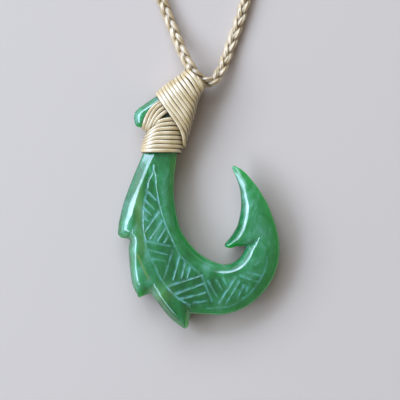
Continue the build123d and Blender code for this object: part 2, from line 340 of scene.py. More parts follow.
def spot(pixel):
    """The place in millimetres under a pixel of the picture."""
    return ((pixel[0] - ORIGIN_PIXEL[0]) * PIXEL_SIZE, (ORIGIN_PIXEL[1] - pixel[1]) * PIXEL_SIZE)


def spots(pixels):
    """The places in millimetres under a line's pixels."""
    return np.array([spot(pixel) for pixel in pixels])


def nearer(height):
    """What a place's distance from the camera's axis shrinks by when it lies this much higher than the
    middle plane and still under the same pixel."""
    return 1 - height / (CAMERA_HEIGHT / MM - MID_HEIGHT)


def make_camera():
    """A camera straight above, which frames the picture at the height of the stone's middle."""
    data = bpy.data.cameras.new("camera")
    camera = link_object("camera", data)
    bpy.context.scene.camera = camera
    middle = spot((PICTURE_SIDE / 2, PICTURE_SIDE / 2))
    camera.location = (middle[0] * MM, middle[1] * MM, CAMERA_HEIGHT)
    distance = CAMERA_HEIGHT - MID_HEIGHT * MM
    data.sensor_width = 36
    data.lens = data.sensor_width * distance / (PICTURE_SIDE * PIXEL_SIZE * MM)
    data.clip_start = 0.01
    data.clip_end = 10


# Helpers for lines and meshes

def smooth_line(points, step):
    """Points about a step apart along a smooth line through a few points."""
    points = np.asarray(points, float)
    chord = np.r_[0, np.cumsum(np.linalg.norm(np.diff(points, axis=0), axis=1))]
    slope = np.gradient(points, chord, axis=0)
    along = np.linspace(0, chord[-1], max(2, round(chord[-1] / step) + 1))
    left = np.clip(np.searchsorted(chord, along, side="right") - 1, 0, len(points) - 2)
    run = chord[left + 1] - chord[left]
    t = ((along - chord[left]) / run)[:, None]
    run = run[:, None]
    value = (1 + 2 * t) * (1 - t) ** 2 * points[left] + t**2 * (3 - 2 * t) * points[left + 1]
    return value + run * t * (1 - t) * ((1 - t) * slope[left] - t * slope[left + 1])


def link_object(name, data):
    """A new object with this data, in the scene."""
    piece = bpy.data.objects.new(name, data)
    bpy.context.scene.collection.objects.link(piece)
    return piece


def link_mesh(name, vertices, edges, faces):
    """A new object with this mesh, from vertices in millimetres."""
    mesh = bpy.data.meshes.new(name)
    mesh.from_pydata((np.asarray(vertices, float) * MM).tolist(), edges, faces)
    return link_object(name, mesh)


def add_attribute(piece, name, values):
    """An attribute of a piece's points, with a number or a vector for each."""
    values = np.asarray(values, np.float32)
    kind, part = ("FLOAT", "value") if values.ndim == 1 else ("FLOAT_VECTOR", "vector")
    piece.data.attributes.new(name, kind, "POINT").data.foreach_set(part, values.ravel())


def scaled_squares(points, line, widths):
    """The squared distance of each point to each place of a line, in squares of the width there."""
    scale = np.broadcast_to(widths, len(line)) ** -2.0
    left = np.c_[(points**2).sum(axis=1), np.ones(len(points)), -2 * points]
    right = np.stack([scale, (line**2).sum(axis=1) * scale, line[:, 0] * scale, line[:, 1] * scale])
    return np.maximum(left.astype(np.float32) @ right.astype(np.float32), 0)


def nearest(points, line):
    """For each point, the distance to the nearest place of a line, and that place's number."""
    distances, numbers = np.empty(len(points)), np.empty(len(points), int)
    for start in range(0, len(points), BLOCK):
        squares = scaled_squares(points[start:start + BLOCK], line, 1)
        numbers[start:start + BLOCK] = squares.argmin(axis=1)
        distances[start:start + BLOCK] = np.sqrt(squares.min(axis=1))
    return distances, numbers


def left_of(along):
    """The unit directions to the left of some directions."""
    along = along / np.linalg.norm(along, axis=1)[:, None]
    return np.stack([-along[:, 1], along[:, 0]], axis=1)


# The stone

def stone_edge_samples():
    """Close samples of the stone's edge: places, bevel widths, ridge softness and inward normals."""
    places, widths, softs = [], [], []
    for _, width, soft, pixels in STONE_EDGE:
        line = smooth_line(spots(pixels), EDGE_STEP)[:-1]
        places.append(line)
        widths.append(np.full(len(line), width))
        softs.append(np.full(len(line), soft))
    places = np.concatenate(places)
    ease = np.hanning(EASE_SAMPLES) / np.hanning(EASE_SAMPLES).sum()
    widths, softs = (np.convolve(np.pad(np.concatenate(values), EASE_SAMPLES // 2, "wrap"), ease, "valid")
                     for values in (widths, softs))
    inward = left_of(np.roll(places, -2, axis=0) - np.roll(places, 2, axis=0))
    return places, widths, softs, inward


def bevel_field(points, edge):
    """How far in from the edge each point is, 1 at the bevel's ridge, and how soft the ridge is there.

    Near the edge it is the distance in bevel widths. Further in, the whole edge adds to it, by the sixth
    power of the nearness, so that it runs smoothly over the middle of narrow places.
    """
    places, widths, softs, _ = edge
    shares, ridge_softs = np.empty(len(points)), np.empty(len(points))
    pieces = EDGE_STEP / widths
    for start in range(0, len(points), BLOCK):
        squares = scaled_squares(points[start:start + BLOCK], places, widths)
        close = np.sqrt(squares.min(axis=1))
        squares += LEAST_SQUARE
        smooth = ((squares * squares * squares) ** -1 @ pieces / STRAIGHT_SUM) ** -0.2
        ease = np.clip((close - SUM_START) / SUM_RUN, 0, 1)
        shares[start:start + BLOCK] = close + (smooth - close) * ease
        weight = squares[:, ::RIDGE_EVERY] ** -2
        ridge_softs[start:start + BLOCK] = weight @ softs[::RIDGE_EVERY] / weight.sum(axis=1)
    return shares, ridge_softs


def crease_field(points, share, half):
    """The bevel field with the creases let into it, and the half thickness with the spurs thinned."""
    for _, pixels, spur_width, other_width, floor, risen, thinning in CREASES:
        line = smooth_line(spots(pixels), EDGE_STEP)
        distance, number = nearest(points, line)
        along = np.gradient(line, axis=0)[number]
        offset = points - line[number]
        on_spur_side = along[:, 0] * offset[:, 1] - along[:, 1] * offset[:, 0] > 0
        gone = number / (len(line) - 1)
        width = np.where(on_spur_side, spur_width, other_width) * (1 - CREASE_NARROWING * gone)
        level = floor * np.minimum(gone / risen, 1) + CREASE_END_RISE * gone**4
        share = np.minimum(share, distance / width + level)
        side = np.where(on_spur_side, 1, np.maximum(1 - distance / SPUR_BORDER, 0))
        away = np.clip(1 - (distance - SPUR_REACH) / SPUR_FADE, 0, 1)
        half = half * (1 - thinning * (1 - gone) ** 1.5 * side * away)
    return share, half


def half_thickness(points):
    """The stone's half thickness at each point, before its edge and creases."""
    shank = np.interp(points[:, 1], SHANK_HEIGHTS, SHANK_HALVES)
    point = np.interp(points[:, 1], POINT_HEIGHTS, POINT_HALVES)
    return np.where(points[:, 0] > POINT_SIDE, point, shank)


def rise(share, soft, half):
    """The height of the surface over the middle plane, from the bevel field."""
    blend = np.clip(0.5 + 0.5 * (1 - share) / soft, 0, 1)
    slope = share * blend + (1 - blend) - soft * blend * (1 - blend)
    edge_round = np.sqrt(1 - (1 - np.clip(share / ROUND_END, 0, 1)) ** 2)
    crown = 1 - np.exp(-np.maximum(share - 1, 0) / CROWN_REACH)
    total = EDGE_SHARE + ROUND_SHARE * edge_round + SLOPE_SHARE * slope + CROWN_SHARE * crown
    return half * total


def plain_rise(points, edge):
    """The height of an uncarved face over the middle plane at each point."""
    share, soft = bevel_field(points, edge)
    share, half = crease_field(points, share, half_thickness(points))
    return rise(share, soft, half)


def front_height(points, edge):
    """The height of the carved front at each point."""
    cut = GROOVE_DEPTH * np.sin(groove_field(points) * math.pi / 2) ** 2
    return MID_HEIGHT + plain_rise(points, edge) - cut


def back_height(points, edge):
    """The height of the plain back at each point."""
    return MID_HEIGHT - plain_rise(points, edge)


def face_normals(points, edge, height, up):
    """The normals of a face of the stone, from its heights close to each point."""
    step = NORMAL_STEP
    across = (height(points + (step, 0), edge) - height(points - (step, 0), edge)) / (2 * step)
    along = (height(points + (0, step), edge) - height(points - (0, step), edge)) / (2 * step)
    normals = np.stack([-across, -along, np.ones(len(points))], axis=1) * up
    return normals / np.linalg.norm(normals, axis=1)[:, None]


def thin_out(points, gap):
    """Drops points closer together than about a gap, the later ones first."""
    cells = np.round(points / gap).astype(np.int64)
    keep = np.sort(np.unique(cells, axis=0, return_index=True)[1])
    return points[keep]


def stone_points(edge, lines):
    """Points inside the stone's outline: rows along the edge and the lines, and a grid between them."""
    places, widths, _, inward = edge
    every = round(ROW_STEP / EDGE_STEP)
    rows = []
    for number, share in enumerate(BEVEL_ROWS):
        start = (number % 2) * (every // 2)
        row = places[start::every] + inward[start::every] * (share * widths[start::every])[:, None]
        found = bevel_field(row, edge)[0]
        rows.append(row[np.abs(found - share) < ROW_SLACK * (1 + share)])
    low, high = places.min(axis=0), places.max(axis=0)
    xs, ys = np.meshgrid(np.arange(low[0], high[0], GRID_STEP), np.arange(low[1], high[1], GRID_STEP))
    xs = xs + (np.arange(len(xs)) % 2)[:, None] * GRID_STEP / 2
    grid = np.stack([xs.ravel(), ys.ravel()], axis=1)
    grid = grid[inside(grid, outline_of(edge))]
    rest = np.concatenate(rows + [grid[bevel_field(grid, edge)[0] > BEVEL_ROWS[-1] + GRID_GAP]])
    if not lines:
        return rest
    fine = []
    for line, offsets in lines:
        across = left_of(np.gradient(line, axis=0))
        fine += [line + across * offset for offset in offsets]
    fine = np.concatenate(fine)
    fine = fine[inside(fine, outline_of(edge))]
    fine = fine[bevel_field(fine, edge)[0] > EDGE_ROOM]
    middles = np.concatenate([line for line, _ in lines])
    rest = rest[nearest(rest, middles)[0] > LINE_ROOM]
    return np.concatenate([fine, rest])


def inside(points, outline):
    """Which points lie inside a closed outline."""
    found = np.zeros(len(points), bool)
    ends = np.roll(outline, -1, axis=0)
    for (x0, y0), (x1, y1) in zip(outline, ends):
        if y0 != y1:
            between = (points[:, 1] < y0) != (points[:, 1] < y1)
            found ^= between & (points[:, 0] < x0 + (points[:, 1] - y0) * (x1 - x0) / (y1 - y0))
    return found


def triangulate(outline, points):
    """Triangles that fill an outline over its own points and the points inside it."""
    count = len(outline)
    places = np.concatenate([outline, points])
    edges = [(i, (i + 1) % count) for i in range(count)]
    faces = delaunay_2d_cdt([Vector(place) for place in places], edges, [], 0, 1e-6, False)[2]
    faces = np.array([face for face in faces if max(face) < len(places)])
    return places, faces[inside(places[faces].mean(axis=1), outline)].tolist()


def outline_of(edge):
    """The points of the stone's outline."""
    return edge[0][::OUTLINE_EVERY]


def engraved_lines(step):
    """The engraved lines with this spacing of points, each with its half widths and its strength."""
    lines = []
    for taper, (half_width, strength, drawn) in (
            (EVEN, CLEAR_BORDERS), (EVEN, FAINT_BORDERS),
            (HATCHING_TAPER, STRONG_HATCHING), (HATCHING_TAPER, FAINT_HATCHING)):
        for pixels in drawn:
            line = smooth_line(spots(pixels) * nearer(MID_HEIGHT), step)
            lines.append((line, half_width * np.linspace(*taper, len(line)), strength))
    return lines


def groove_field(points):
    """How far down a groove each point lies, 1 on its middle line and 0 from its border on."""
    found = np.zeros(len(points))
    for line, widths, strength in engraved_lines(ENGRAVING_STEP):
        reach = np.ptp(line, axis=0) + 1
        close = np.flatnonzero(np.all(np.abs(points - line.mean(axis=0)) < reach, axis=1))
        distance, number = nearest(points[close], line)
        found[close] = np.maximum(found[close], strength * (1 - distance / widths[number]))
    return found


def place_field(points, places):
    """The sum of soft round places at each point."""
    found = np.zeros(len(points))
    for pixel, reach_x, reach_y, strength in places:
        gap = (points - spot(pixel)) / (reach_x * PIXEL_SIZE, reach_y * PIXEL_SIZE)
        found += strength * np.exp(-(gap**2).sum(axis=1))
    return found


def paint_stone(stone, front, back, edge, normals):
    """The attributes that the stone's material reads. On its rim they paint the light through the stone:
    glowing green where it faces right, and painted teal shade where it faces left and up the picture."""
    both = np.concatenate([front, back])
    vein = np.maximum(1 - nearest(both, smooth_line(spots(VEIN), VEIN_STEP))[0] / VEIN_HALF_WIDTH, 0)
    inset = bevel_field(both, edge)[0]
    outer = np.clip(1 - inset, 0, 1)
    add_attribute(stone, "engraved", np.r_[groove_field(front), np.zeros(len(back))])
    add_attribute(stone, "inset", np.clip(inset / 2, 0, 1))
    # Painted light and shade: light through the stone is painted glowing green where the rim faces right,
    # and its shade is painted teal where it faces left and up
    painted_glow = PAINTED_GLOW_ON_RIM * outer + PAINTED_GLOW_ON_RIGHT * normals[:, 0]
    painted_shade = PAINTED_SHADE_ON_TOP * normals[:, 1] + PAINTED_SHADE_ON_LEFT * -normals[:, 0]
    add_attribute(stone, "painted_glow", np.clip(painted_glow, 0, 1))
    add_attribute(stone, "painted_shade", outer * np.clip(painted_shade, 0, PAINTED_SHADE_MOST))
    # Lighter milk-white places, on the bevels partly a painted pale sheen
    add_attribute(stone, "milky_and_sheen", place_field(both, MILKY_AND_SHEEN_PLACES))
    add_attribute(stone, "rusty", place_field(both, RUSTY_PLACES) + vein)


def make_stone(materials):
    """The hook: a front with its engraving, a plain back, and the wall between them."""
    edge = stone_edge_samples()
    outline = outline_of(edge)
    lines = [(line, GROOVE_ROWS) for line, *_ in engraved_lines(GROOVE_STEP)]
    lines.append((smooth_line(spots(VEIN), GROOVE_STEP), GROOVE_ROWS))
    lines += [(smooth_line(spots(pixels), GROOVE_STEP), CREASE_ROWS) for _, pixels, *_ in CREASES]
    front, front_faces = triangulate(outline, thin_out(stone_points(edge, lines), FRONT_GAP))
    back, back_faces = triangulate(outline, thin_out(stone_points(edge, []), BACK_GAP))
    count = len(outline)

    front_z, back_z = front_height(front, edge), back_height(back, edge)
    rim = rise(np.zeros(count), np.ones(count), half_thickness(outline))
    front_z[:count], back_z[:count] = MID_HEIGHT + rim, MID_HEIGHT - rim
    vertices = np.concatenate([np.c_[front, front_z], np.c_[back, back_z]])
    shift = len(front)
    faces = [list(face) for face in front_faces]
    faces += [[shift + corner for corner in reversed(face)] for face in back_faces]
    faces += [[i, shift + i, shift + (i + 1) % count, (i + 1) % count] for i in range(count)]
    stone = link_mesh("carved_stone", vertices, [], faces)
    stone.data.shade_smooth()
    normals = np.array([normal.vector for normal in stone.data.vertex_normals])
    normals[count:shift] = face_normals(front[count:], edge, front_height, 1)
    normals[shift + count:] = face_normals(back[count:], edge, back_height, -1)
    stone.data.normals_split_custom_set_from_vertices(normals.tolist())
    paint_stone(stone, front, back, edge, normals)
    stone.data.materials.append(materials["stone"])
    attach(stone, "root")
    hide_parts("hook_stone")


# Node trees

GEOMETRY = ("Geometry", "Geometry")
# Keeps a difference from one above zero before its root is taken
JUST_OVER_ONE = 1.0001
# How close in metres the first and the last point of a closed line are
JOINING_DISTANCE = 1e-6


def new_tree(kind, name, inputs, outputs):
    """A node tree with these inputs and outputs, each a name and a kind. With it come the sockets that its
    inputs are read from, and the node that its outputs go to."""
    tree = bpy.data.node_groups.new(name, kind)
    for in_out, sockets in (("INPUT", inputs), ("OUTPUT", outputs)):
        for label, socket_kind in sockets:
            tree.interface.new_socket(label, in_out=in_out, socket_type=f"NodeSocket{socket_kind}")
    return tree, tree.nodes.new("NodeGroupInput").outputs, tree.nodes.new("NodeGroupOutput")


def join(tree, source, target):
    tree.links.new(source, target)


def feed(tree, socket, value):
    """Gives a socket a plain value, a colour, or another node's output."""
    if isinstance(value, bpy.types.NodeSocket):
        join(tree, value, socket)
    elif isinstance(value, tuple) and socket.type == "RGBA":
        socket.default_value = (*value, 1)
    elif value is not None:
        socket.default_value = value


def feed_all(tree, node, values):
    """Gives a node's sockets their values, by the sockets' names or numbers."""
    for label, value in values.items():
        feed(tree, node.inputs[label], value)


def make_node(tree, kind, values, **settings):
    """A node with these settings and these values for its sockets."""
    node = tree.nodes.new(kind)
    for setting, choice in settings.items():
        setattr(node, setting, choice)
    feed_all(tree, node, values)
    return node


def math_node(tree, operation, first, second=None):
    return make_node(tree, "ShaderNodeMath", {0: first, 1: second}, operation=operation).outputs[0]


def times(tree, first, second):
    return math_node(tree, "MULTIPLY", first, second)


def minus(tree, first, second):
    return math_node(tree, "SUBTRACT", first, second)


def vector_node(tree, operation, first, second=None, scale=None):
    """A vector node. Its Scale goes by its number, because only one operation shows it by name."""
    node = make_node(tree, "ShaderNodeVectorMath", {0: first, 1: second, 3: scale}, operation=operation)
    return node.outputs["Value" if operation in ("DOT_PRODUCT", "LENGTH") else "Vector"]


def store(tree, geometry, name, kind, value):
    """The geometry with a value of each point kept as an attribute."""
    return make_node(tree, "GeometryNodeStoreNamedAttribute",
                     {"Geometry": geometry, "Name": name, "Value": value},
                     data_type=kind, domain="POINT").outputs["Geometry"]


def sweep_thread(tree, curve, diameter, sides):
    """Sweeps a round thread along curves, with the place round it and along it as attributes."""
    ring = make_node(tree, "GeometryNodeCurvePrimitiveCircle",
                     {"Resolution": sides, "Radius": times(tree, diameter, 0.5)})
    place = vector_node(tree, "NORMALIZE", tree.nodes.new("GeometryNodeInputPosition").outputs[0])
    around = store(tree, ring.outputs["Curve"], "ring_place", "FLOAT_VECTOR", place)
    length = tree.nodes.new("GeometryNodeSplineParameter").outputs["Length"]
    along = store(tree, curve, "thread_length", "FLOAT", length)
    sweep = make_node(tree, "GeometryNodeCurveToMesh", {"Curve": along, "Profile Curve": around})
    return make_node(tree, "GeometryNodeSetShadeSmooth",
                     {"Geometry": sweep.outputs["Mesh"]}).outputs["Geometry"]


def end_tree(tree, geometry, material, exit_node):
    """The end of each tree: real geometry with its material."""
    real = make_node(tree, "GeometryNodeRealizeInstances", {"Geometry": geometry})
    painted = make_node(tree, "GeometryNodeSetMaterial", {
        "Geometry": real.outputs["Geometry"], "Material": material})
    join(tree, painted.outputs["Geometry"], exit_node.inputs["Geometry"])
    return tree


def stored(tree, name, kind):
    """An attribute that was stored before."""
    return make_node(tree, "GeometryNodeInputNamedAttribute", {"Name": name},
                     data_type=kind).outputs["Attribute"]


def surface_normal(tree):
    return tree.nodes.new("GeometryNodeInputNormal").outputs[0]


def thread_tree():
    """A tree that makes a thread along each line of a mesh, its section pressed towards a square. The
    attribute crevice is 1 where a thread faces its neighbours, along the attribute beside; the material
    paints shade there."""
    tree, given, exit_node = new_tree("GeometryNodeTree", "wind_thread", [
        GEOMETRY, ("Thread Diameter", "Float"), ("Squareness", "Float"), ("Sides", "Int"),
        ("Material", "Material")], [GEOMETRY])
    diameter, squareness = given["Thread Diameter"], given["Squareness"]
    curve = make_node(tree, "GeometryNodeMeshToCurve", {"Mesh": given["Geometry"]})
    made = sweep_thread(tree, curve.outputs["Curve"], diameter, given["Sides"])
    beside = stored(tree, "beside", "FLOAT_VECTOR")
    towards = vector_node(tree, "DOT_PRODUCT", surface_normal(tree), beside)
    made = store(tree, made, "crevice", "FLOAT", math_node(tree, "ABSOLUTE", towards))
    facing = stored(tree, "crevice", "FLOAT")
    upright = math_node(tree, "SQRT", minus(tree, JUST_OVER_ONE, math_node(tree, "POWER", facing, 2)))
    total = math_node(tree, "ADD", math_node(tree, "POWER", facing, squareness),
                      math_node(tree, "POWER", upright, squareness))
    growth = math_node(tree, "POWER", total, math_node(tree, "DIVIDE", -1, squareness))
    bulge = times(tree, minus(tree, growth, 1), times(tree, diameter, 0.5))
    offset = vector_node(tree, "SCALE", surface_normal(tree), scale=bulge)
    pressed = make_node(tree, "GeometryNodeSetPosition", {"Geometry": made, "Offset": offset})
    return end_tree(tree, pressed.outputs["Geometry"], given["Material"], exit_node)


def plait_tree():
    """A tree that plaits strands along a closed line, with as many turns as it is told. The attribute
    crevice is 0 on the plait's outside and grows towards its middle, where the material paints shade."""
    tree, given, exit_node = new_tree("GeometryNodeTree", "plait_cord", [
        GEOMETRY, ("Turns", "Int"), ("Cord Diameter", "Float"), ("Cord Height", "Float"),
        ("Strand Diameter", "Float"), ("Step", "Float"), ("Sides", "Int"), ("Material", "Material")],
        [GEOMETRY])
    diameter = given["Strand Diameter"]
    closed = make_node(tree, "GeometryNodeMergeByDistance", {
        "Geometry": given["Geometry"], "Distance": JOINING_DISTANCE})
    curve = make_node(tree, "GeometryNodeMeshToCurve", {"Mesh": closed.outputs["Geometry"]})
    even = make_node(tree, "GeometryNodeResampleCurve", {
        "Curve": curve.outputs["Curve"], "Length": given["Step"]}, mode="LENGTH")
    copies = make_node(tree, "GeometryNodeDuplicateElements", {
        "Amount": STRANDS, "Geometry": even.outputs["Curve"]}, domain="SPLINE")
    strand = math_node(tree, "DIVIDE", copies.outputs["Duplicate Index"], STRANDS)
    factor = tree.nodes.new("GeometryNodeSplineParameter").outputs["Factor"]
    swing = times(tree, minus(tree, strand, times(tree, factor, given["Turns"])), math.tau)
    shares = []
    for label, wave in (("Cord Diameter", math_node(tree, "SINE", swing)),
                        ("Cord Height", math_node(tree, "SINE", times(tree, swing, 2)))):
        room = minus(tree, given[label], diameter)
        shares.append(times(tree, wave, times(tree, room, 0.5)))
    tangent = tree.nodes.new("GeometryNodeInputTangent").outputs[0]
    side = vector_node(tree, "NORMALIZE", vector_node(tree, "CROSS_PRODUCT", tangent, (0.0, 0.0, 1.0)))
    up = vector_node(tree, "CROSS_PRODUCT", side, tangent)
    offset = vector_node(tree, "ADD", vector_node(tree, "SCALE", side, scale=shares[0]),
                         vector_node(tree, "SCALE", up, scale=shares[1]))
    marked = store(tree, copies.outputs["Geometry"], "strand_offset", "FLOAT_VECTOR", offset)
    moved = make_node(tree, "GeometryNodeSetPosition", {
        "Geometry": marked, "Offset": stored(tree, "strand_offset", "FLOAT_VECTOR")})
    made = sweep_thread(tree, moved.outputs["Geometry"], diameter, given["Sides"])
    radius = times(tree, diameter, 0.5)
    outwards = vector_node(tree, "ADD", stored(tree, "strand_offset", "FLOAT_VECTOR"),
                           vector_node(tree, "SCALE", surface_normal(tree), scale=radius))
    reach = math_node(tree, "DIVIDE", vector_node(tree, "LENGTH", outwards),
                      times(tree, given["Cord Diameter"], 0.5))
    made = store(tree, made, "crevice", "FLOAT", minus(tree, 1, reach))
    return end_tree(tree, made, given["Material"], exit_node)


def grow(piece, tree, values):
    """Runs a tree on a piece with these inputs and leaves the result as the piece's plain mesh."""
    modifier = piece.modifiers.new(tree.name, "NODES")
    modifier.node_group = tree
    for item in tree.interface.items_tree:
        if item.in_out == "INPUT" and item.name in values:
            modifier[item.identifier] = values[item.name]
    graph = bpy.context.evaluated_depsgraph_get()
    mesh = bpy.data.meshes.new_from_object(piece.evaluated_get(graph))
    piece.modifiers.clear()
    old = piece.data
    piece.data = mesh
    mesh.name = piece.name
    bpy.data.meshes.remove(old)


# The lashings

def thread_ring(pixels, reach, shift):
    """One closed turn of thread, from the pixels of its front run, how far it reaches over the middle, and
    how far its back run is shifted at the two ends. With it comes the direction to the next turn."""
    run = smooth_line(spots(pixels), RUN_STEP)
    chord = np.r_[0, np.cumsum(np.linalg.norm(np.diff(run, axis=0), axis=1))]
    turn = np.linspace(0, math.tau, RING_POINTS, endpoint=False)
    across, height = (np.sign(wave) * np.abs(wave) ** (2 / LASHING_SQUARENESS)
                      for wave in (np.cos(turn), np.sin(turn)))
    along = (across + 1) / 2
    behind = (1 - height) / 2 * PIXEL_SIZE
    (first_x, first_y), (last_x, last_y) = shift
    gone = along * chord[-1]
    x = np.interp(gone, chord, run[:, 0]) + behind * (first_x + along * (last_x - first_x))
    y = np.interp(gone, chord, run[:, 1]) - behind * (first_y + along * (last_y - first_y))
    slope = np.gradient(run, chord, axis=0)
    beside = np.stack([-np.interp(gone, chord, slope[:, 1]), np.interp(gone, chord, slope[:, 0]),
                       np.zeros(RING_POINTS)], axis=1)
    over = nearer(reach * height)
    return np.stack([x * over, y * over, MID_HEIGHT + reach * height], axis=1), beside


def wind(name, turns, reaches, shift, tree, material, replaced):
    """A lashing: a ring of thread for each turn, all in one piece."""
    vertices, edges, sides = [], [], []
    for pixels, reach in zip(turns, reaches):
        ring, beside = thread_ring(pixels, reach, shift)
        first = len(vertices)
        vertices += ring.tolist()
        sides += beside.tolist()
        edges += [(first + i, first + (i + 1) % len(ring)) for i in range(len(ring))]
    piece = link_mesh(name, vertices, edges, [])
    add_attribute(piece, "beside", sides)
    grow(piece, tree, {"Thread Diameter": THREAD_DIAMETER * MM, "Squareness": THREAD_SQUARENESS,
                       "Sides": THREAD_SIDES, "Material": material})
    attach(piece, "root")
    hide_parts(replaced)


def make_lashings(materials):
    """The whipping, the side strands and the head's band, each turn at a slightly different level."""
    tree = thread_tree()
    shuffle = random.Random(REACH_SEED)
    for name, turns, shift, reach, replaced in (
            ("whipping_thread", WHIPPING_TURNS, WHIPPING_SHIFT, WHIPPING_REACH, "shank_whipping"),
            ("side_thread", SIDE_TURNS, SIDE_SHIFT, WHIPPING_REACH, "side_lashing"),
            ("band_thread", BAND_TURNS, BAND_SHIFT, BAND_REACH, "head_lashing")):
        reaches = [reach + shuffle.uniform(-REACH_SPREAD, REACH_SPREAD) for _ in turns]
        wind(name, turns, reaches, shift, tree, materials["thread"], replaced)


# The neck cord

def make_cord(materials):
    """The braided cord, its strands laid along a smooth line through the route."""
    data = bpy.data.curves.new("cord_route", "CURVE")
    data.dimensions = "3D"
    spline = data.splines.new("NURBS")
    spline.points.add(len(CORD_ROUTE) - 1)
    for point, place in zip(spline.points, CORD_ROUTE):
        point.co = (*place, 1)
    spline.order_u = 3
    spline.use_endpoint_u = True
    spline.resolution_u = ROUTE_RESOLUTION
    route = link_object("cord_route", data)
    bpy.context.view_layer.update()
    line = bpy.data.meshes.new_from_object(route)
    bpy.data.objects.remove(route)
    braid = link_object("braided_cord", line)
    grow(braid, plait_tree(), {
        "Turns": PLAIT_TURNS, "Cord Diameter": CORD_DIAMETER, "Cord Height": CORD_HEIGHT,
        "Strand Diameter": STRAND_DIAMETER, "Step": PLAIT_STEP, "Sides": STRAND_SIDES,
        "Material": materials["braid"]})
    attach(braid, "root")
    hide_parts("neck_cord")


# Materials

# The stone's shades, each with the value of the mottle it stands at, and its other colours
STONE_SHADES = (
    (0.36, (0.005, 0.112, 0.018)),
    (0.48, (0.016, 0.176, 0.040)),
    (0.57, (0.042, 0.245, 0.090)),
    (0.72, (0.160, 0.370, 0.270)),
)
# Painted light on the rim: the green that light through the stone is painted with, and the teal of the
# painted shade
PAINTED_GLOW_GREEN = (0.018, 0.330, 0.032)
PAINTED_SHADE_TEAL = (0.003, 0.070, 0.026)
RUST = (0.230, 0.300, 0.075)
CHALK = (0.13, 0.44, 0.38)

# Noises: how many features to a metre, the detail, the roughness, the distortion and the stretch
STONE_CLOUDS = (320, 3, 0.55, 1.0, (1.0, 0.6, 1.0))
STONE_GRAIN = (1700, 3, 0.6, 0.3, (1.0, 0.45, 1.0))
GROOVE_WEAR = (900, 2)
THREAD_CLOUDS = (420, 4)

# How much chalk is left in a groove by its wear, how much polish there is by how far in from the edge, and
# between which values of its clouds a thread goes from dark to light
WEAR_STOPS = ((0.4, (0.15, 0.15, 0.15)), (0.58, (1, 1, 1)))
POLISH_STOPS = ((0.04, (0, 0, 0)), (0.2, (0.75, 0.75, 0.75)))
DARK_TO_LIGHT = (0.3, 0.7)

# What the mottle starts from, how much the clouds, the grain and the lighter places with their painted
# sheen add to it, how much of the painted rim light and the rust shows, the roughness of the polish, and
# what a full groove adds to it
MOTTLE_BASE = 0.115
CLOUD_SHARE = 0.62
GRAIN_SHARE = 0.15
MILKY_AND_SHEEN_SHARE = 0.16
PAINTED_GLOW_SHARE = 0.85
RUST_SHARE = 0.75
POLISH_ROUGHNESS = 0.2
GROOVE_ROUGHNESS = 0.4

# How much wax a thread has outside its crevices
MOST_WAX = 0.95


def new_material(name):
    material = bpy.data.materials.new(name)
    material.use_nodes = True
    return material, material.node_tree, material.node_tree.nodes["Principled BSDF"]


def attribute_node(tree, name, output="Fac"):
    return make_node(tree, "ShaderNodeAttribute", {}, attribute_name=name).outputs[output]


def noise_node(tree, scale, detail, roughness=0.5, distortion=0.0, stretch=(1, 1, 1)):
    """A noise in the piece's own place, with so many features to a metre."""
    place = tree.nodes.new("ShaderNodeTexCoord").outputs["Object"]
    stretched = make_node(tree, "ShaderNodeMapping", {"Scale": stretch, "Vector": place})
    return make_node(tree, "ShaderNodeTexNoise", {
        "Scale": scale, "Detail": detail, "Roughness": roughness, "Distortion": distortion,
        "Vector": stretched.outputs["Vector"]}).outputs["Fac"]


def ramp_node(tree, value, *stops):
    """The colour at a value, between stops of a value and its colour."""
    node = tree.nodes.new("ShaderNodeValToRGB")
    elements = node.color_ramp.elements
    while len(elements) < len(stops):
        elements.new(0.5)
    for element, (place, colour) in zip(elements, stops):
        element.position = place
        element.color = (*colour, 1)
    join(tree, value, node.inputs["Fac"])
    return node.outputs["Color"]


def mix_node(tree, factor, first, second):
    values = {"Factor": factor, "A": first, "B": second}
    return make_node(tree, "ShaderNodeMix", values, data_type="RGBA").outputs["Result"]


def share_node(tree, value, first, last):
    """How far a value has gone from a first value to a last one, from 0 to 1."""
    values = {"Value": value, "From Min": first, "From Max": last}
    return make_node(tree, "ShaderNodeMapRange", values).outputs["Result"]


